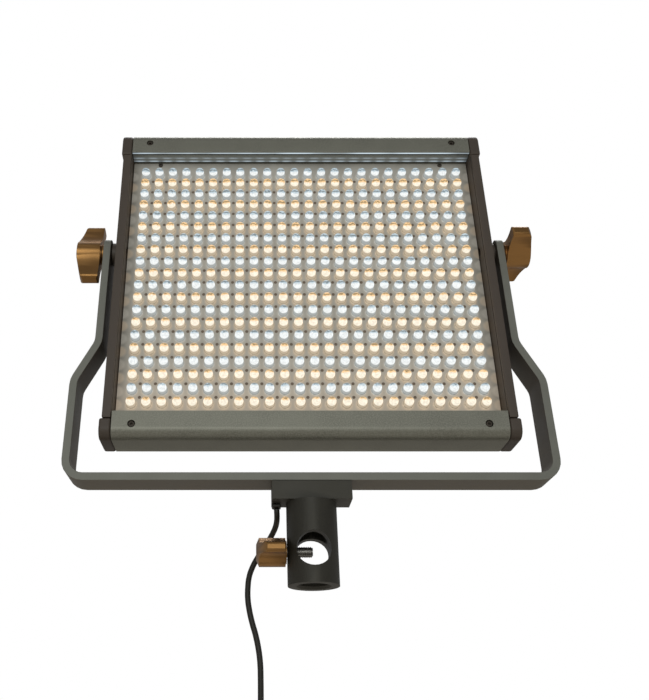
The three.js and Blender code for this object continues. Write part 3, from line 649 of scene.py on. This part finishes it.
def make_row_mesh(tone):
    """Twenty-four lamps in a row at z = 0, each a dome on a flange."""
    bm = bmesh.new()
    centre_y = TIP_Y + DOME_RADIUS
    profile = [(FLANGE_RADIUS, BOARD_Y - 0.06), (FLANGE_RADIUS, BOARD_Y - 0.75),
               (FLANGE_RADIUS - 0.15, BOARD_Y - 0.9), (DOME_RADIUS, BOARD_Y - 0.95)]
    for k in range(9):
        angle = math.pi / 2 * k / 8
        profile.append((max(DOME_RADIUS * math.cos(angle), 0.02), centre_y - DOME_RADIUS * math.sin(angle)))
    for column in range(LED_COLUMNS):
        place = (column * LED_PITCH_X - LED_HALF_SPAN, 0, 0)
        lathe_into(bm, "y", place, profile, 20, lambda index: 1 if index < 3 else 0)
    piece = softened(from_bmesh(f"{tone}_row", bm, *TONES[tone]), 0)
    mesh = piece.data
    bpy.data.objects.remove(piece)
    return mesh


def make_rows():
    meshes = {tone: make_row_mesh(tone) for tone in TONES}
    for row in range(LED_ROWS):
        tone = "cool" if row % 2 == 0 else "warm"
        node = f"{tone}_led_row_{row + 1:02d}"
        piece = add_object(node + "_lamps", meshes[tone])
        piece.location.z = (LED_TOP_Z - row * LED_PITCH_Z) * MM
        share = 1 - row / (LED_ROWS - 1)
        piece.color = (share, share, share, 1)
        stands_for(piece, f"{tone}_leds", node)


def make_board_holes():
    """A small dark disc between every four lamps, painted shade standing in for a plated hole."""
    bm = bmesh.new()
    profile = [(0.98, BOARD_Y - 0.005), (0.98, BOARD_Y - 0.06), (0.78, BOARD_Y - 0.08)]
    for column in range(LED_COLUMNS - 1):
        for row in range(LED_ROWS - 1):
            x = (column + 0.5) * LED_PITCH_X - LED_HALF_SPAN
            z = LED_TOP_Z - (row + 0.5) * LED_PITCH_Z
            lathe_into(bm, "y", (x, 0, z), profile, 12)
    return added(from_bmesh("board_holes", bm, HOLE_SHADE), "head")


def make_board_screws():
    for name, column in (("left", 1), ("right", LED_COLUMNS - 2)):
        x = column * LED_PITCH_X - LED_HALF_SPAN
        z = LED_TOP_Z + 9.3
        profile = [(1.5, BOARD_Y - 0.02), (1.5, BOARD_Y - 0.5), (1.1, BOARD_Y - 0.9)]
        screw = turned(f"board_screw_{name}", "y", (x, 0, z), profile, 20, DARK_STEEL)
        socket = turned("socket", "y", (x, 0, z), [(0.6, BOARD_Y - 0.4), (0.6, BOARD_Y - 1.5)], 6, DARK_STEEL)
        added(softened(carved(screw, socket), 0), "head")


refined("led_board", "led_board", board_material(), 0.1)
make_rows()
make_board_holes()
make_board_screws()


# ---------------------------------------------------------------- rear

refined("driver_board", "circuit_board", CIRCUIT, 0.15)
refined("rear_cover", "rear_plastic", REAR_PLASTIC, 0.5)
refined("dc_inlet", "control_plastic", CONTROL_PLASTIC, 0.25)
refined("power_rocker", "control_plastic", CONTROL_PLASTIC, 0.6, 3)


def make_dial(node):
    """A knurled dial with a smooth crown and a white pointer."""
    low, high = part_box(node)
    x, z = (low.x + high.x) / 2 / MM, (low.z + high.z) / 2 / MM
    back, front = low.y / MM, high.y / MM
    skirt = front - 13
    bm = bmesh.new()
    count = 120
    profile = [(3.0, back, 0), (3.0, skirt, 0), (10.0, skirt, 0), (10.4, skirt + 0.4, 0), (10.4, skirt + 1.7, 0),
               (9.2, skirt + 2.6, 0), (8.9, skirt + 3.2, 1), (8.4, skirt + 11.4, 1), (8.0, skirt + 12.2, 0),
               (7.2, front - 0.15, 0), (6.4, front - 0.5, 0), (0.1, front - 0.5, 0)]
    rings = []
    for radius, height, knurled in profile:
        ring = ring_of(bm, "y", (x, 0, z), radius, height, count)
        for i, vertex in enumerate(ring):
            if knurled and i % 4 < 2:
                offset = Vector((vertex.co.x - x * MM, 0, vertex.co.z - z * MM))
                vertex.co -= offset.normalized() * 0.45 * MM
        rings.append(ring)
    bridged(bm, rings)
    dial = softened(from_bmesh(node + "_fine", bm, CONTROL_PLASTIC), 0)
    stands_for(dial, "control_plastic", node)
    bm = bmesh.new()
    block_into(bm, (x - 0.5, front - 0.55, z + 1.6), (x + 0.5, front - 0.2, z + 6.2))
    added(softened(from_bmesh(node + "_pointer", bm, MARK_PAINT), 0.1), node)
    bm = bmesh.new()
    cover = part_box("rear_cover")[1].y / MM
    for step in range(11):
        angle = math.radians(90 + 140 - 28 * step)
        size = (0.35, 0.05, 1.1 if step % 5 == 0 else 0.7)
        centre = (x + 13.2 * math.cos(angle), cover + size[1] - 0.02, z + 13.2 * math.sin(angle))
        turn = Matrix.Rotation(math.pi / 2 - angle, 4, "Y")
        scale = Matrix.Diagonal((*[2 * v * MM for v in size], 1))
        bmesh.ops.create_cube(bm, size=1, matrix=Matrix.Translation(Vector(centre) * MM) @ turn @ scale)
    added(from_bmesh(node + "_scale", bm, MARK_PAINT), "head")


for node in ("brightness_dial", "temperature_dial"):
    make_dial(node)


def make_battery_seat(side):
    node = f"battery_plate_{side}"
    refined(node, "rear_plastic", REAR_PLASTIC, 0.35)
    refined(f"battery_latch_{side}", "side_plastic", SIDE_PLASTIC, 0.5, 3)
    low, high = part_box(node)
    x = (low.x + high.x) / 2 / MM
    face, top, pad = high.y / MM, high.z / MM, low.y / MM + 3.5
    bm = bmesh.new()
    for offset in (-6.5, 6.5):
        block_into(bm, (x + offset - 0.9, face - 1.9, top - 10.6), (x + offset + 0.9, face - 0.45, top - 3.2))
    added(softened(from_bmesh(f"battery_contacts_{side}", bm, CONTACT_GOLD), 0.2), "head")
    screws = bmesh.new()
    for dx, dz in ((-11, -24), (11, -24), (-11, 8), (11, 8)):
        z = (low.z + high.z) / 2 / MM + dz
        profile = [(1.9, pad - 0.05), (1.9, pad + 0.25), (1.5, pad + 0.6)]
        lathe_into(screws, "y", (x + dx, 0, z), profile, 20)
    added(softened(from_bmesh(f"battery_screws_{side}", screws, DARK_STEEL), 0), "head")


for side, _ in SIDES:
    make_battery_seat(side)


# ---------------------------------------------------------------- bracket, receiver and locks

refined("u_bracket", "bracket_metal", BRACKET_METAL, 0.45, 3)
refined("stand_receiver", "receiver_metal", RECEIVER_METAL, 0.5, 3)


def make_stud(node, axis_sign, pitch, depth):
    """A stud with a real helical thread, running along X."""
    low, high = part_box(node)
    centre = (low + high) / 2 / MM
    radius = (high.z - low.z) / 2 / MM - 0.02
    start, end = low.x / MM + 0.05, high.x / MM - 0.05
    around, along = 24, max(8, round((end - start) / pitch * 6))
    bm = bmesh.new()
    rings = []
    for k in range(along + 1):
        height = start + (end - start) * k / along
        ring = []
        taper = min(1.0, (min(height - start, end - height) + 0.35) / 1.2)
        for i in range(around):
            angle = 2 * math.pi * i / around
            phase = (height / pitch + axis_sign * i / around) % 1.0
            r = radius * (0.72 + 0.28 * taper) - depth * abs(2 * phase - 1)
            point = Vector((height, centre.y + r * math.cos(angle), centre.z + r * math.sin(angle)))
            ring.append(bm.verts.new(point * MM))
        rings.append(ring)
    bridged(bm, rings)
    piece = from_bmesh(node + "_fine", bm, STEEL)
    piece.data.shade_smooth()
    return stands_for(piece, "bright_steel", node)


for side, sign in SIDES:
    refined(f"lock_knob_{side}", "bronze_knobs", BRONZE, 0.5, 3)
    make_stud(f"lock_stud_{side}", sign, 1.25, 0.6)
    refined(f"knob_washer_{side}", "bronze_knobs", BRONZE, 0.2)
    refined(f"friction_washer_{side}", "side_plastic", SIDE_PLASTIC, 0.3)
refined("clamp_knob", "bronze_knobs", BRONZE, 0.4, 3)
make_stud("clamp_stud", -1, 1.0, 0.5)


# ---------------------------------------------------------------- studio

FLOOR_Z = -0.55
FLOOR_HALF_WIDTH = 6
CENTRE = (0, 0, 0.16)


def make_floor():
    bm = bmesh.new()
    bmesh.ops.create_grid(bm, x_segments=1, y_segments=1, size=FLOOR_HALF_WIDTH,
                          matrix=Matrix.Translation((0, 0, FLOOR_Z)))
    material = coated("floor", (0.78, 0.73, 0.66), 0.9, grain=4.0, bump=0.02, mottle=0.01)
    from_bmesh("floor", bm, material)


def area_light(name, place, target, size, power, color=(1, 1, 1), spread=180):
    data = bpy.data.lights.new(name, "AREA")
    data.shape = "RECTANGLE"
    data.size, data.size_y = size
    data.energy = power
    data.color = color
    data.spread = math.radians(spread)
    lamp = add_object(name, data)
    lamp.location = place
    lamp.rotation_euler = (Vector(target) - Vector(place)).to_track_quat("-Z", "Y").to_euler()
    lamp.visible_camera = False


def make_world():
    """White behind the object, dimmer as a source of light, so that dark metal stays dark."""
    world = bpy.data.worlds.new("studio")
    world.use_nodes = True
    nodes, links = world.node_tree.nodes, world.node_tree.links
    background = nodes["Background"]
    background.inputs["Color"].default_value = (1, 1, 1, 1)
    rays = nodes.new("ShaderNodeLightPath")
    strength = nodes.new("ShaderNodeMapRange")
    strength.inputs["To Min"].default_value = 0.31
    strength.inputs["To Max"].default_value = 1.0
    links.new(rays.outputs["Is Camera Ray"], strength.inputs["Value"])
    links.new(strength.outputs[0], background.inputs["Strength"])
    bpy.context.scene.world = world


make_floor()
make_world()
area_light("key", (-0.15, -1.75, 0.25), CENTRE, (1.1, 0.9), 0.9, (0.98, 1.0, 0.96), 60)
area_light("back", (0.2, 0.7, 1.9), CENTRE, (1.2, 0.8), 5, spread=100)
bpy.context.scene.view_settings.view_transform = "Standard"
bpy.context.scene.view_settings.look = "None"
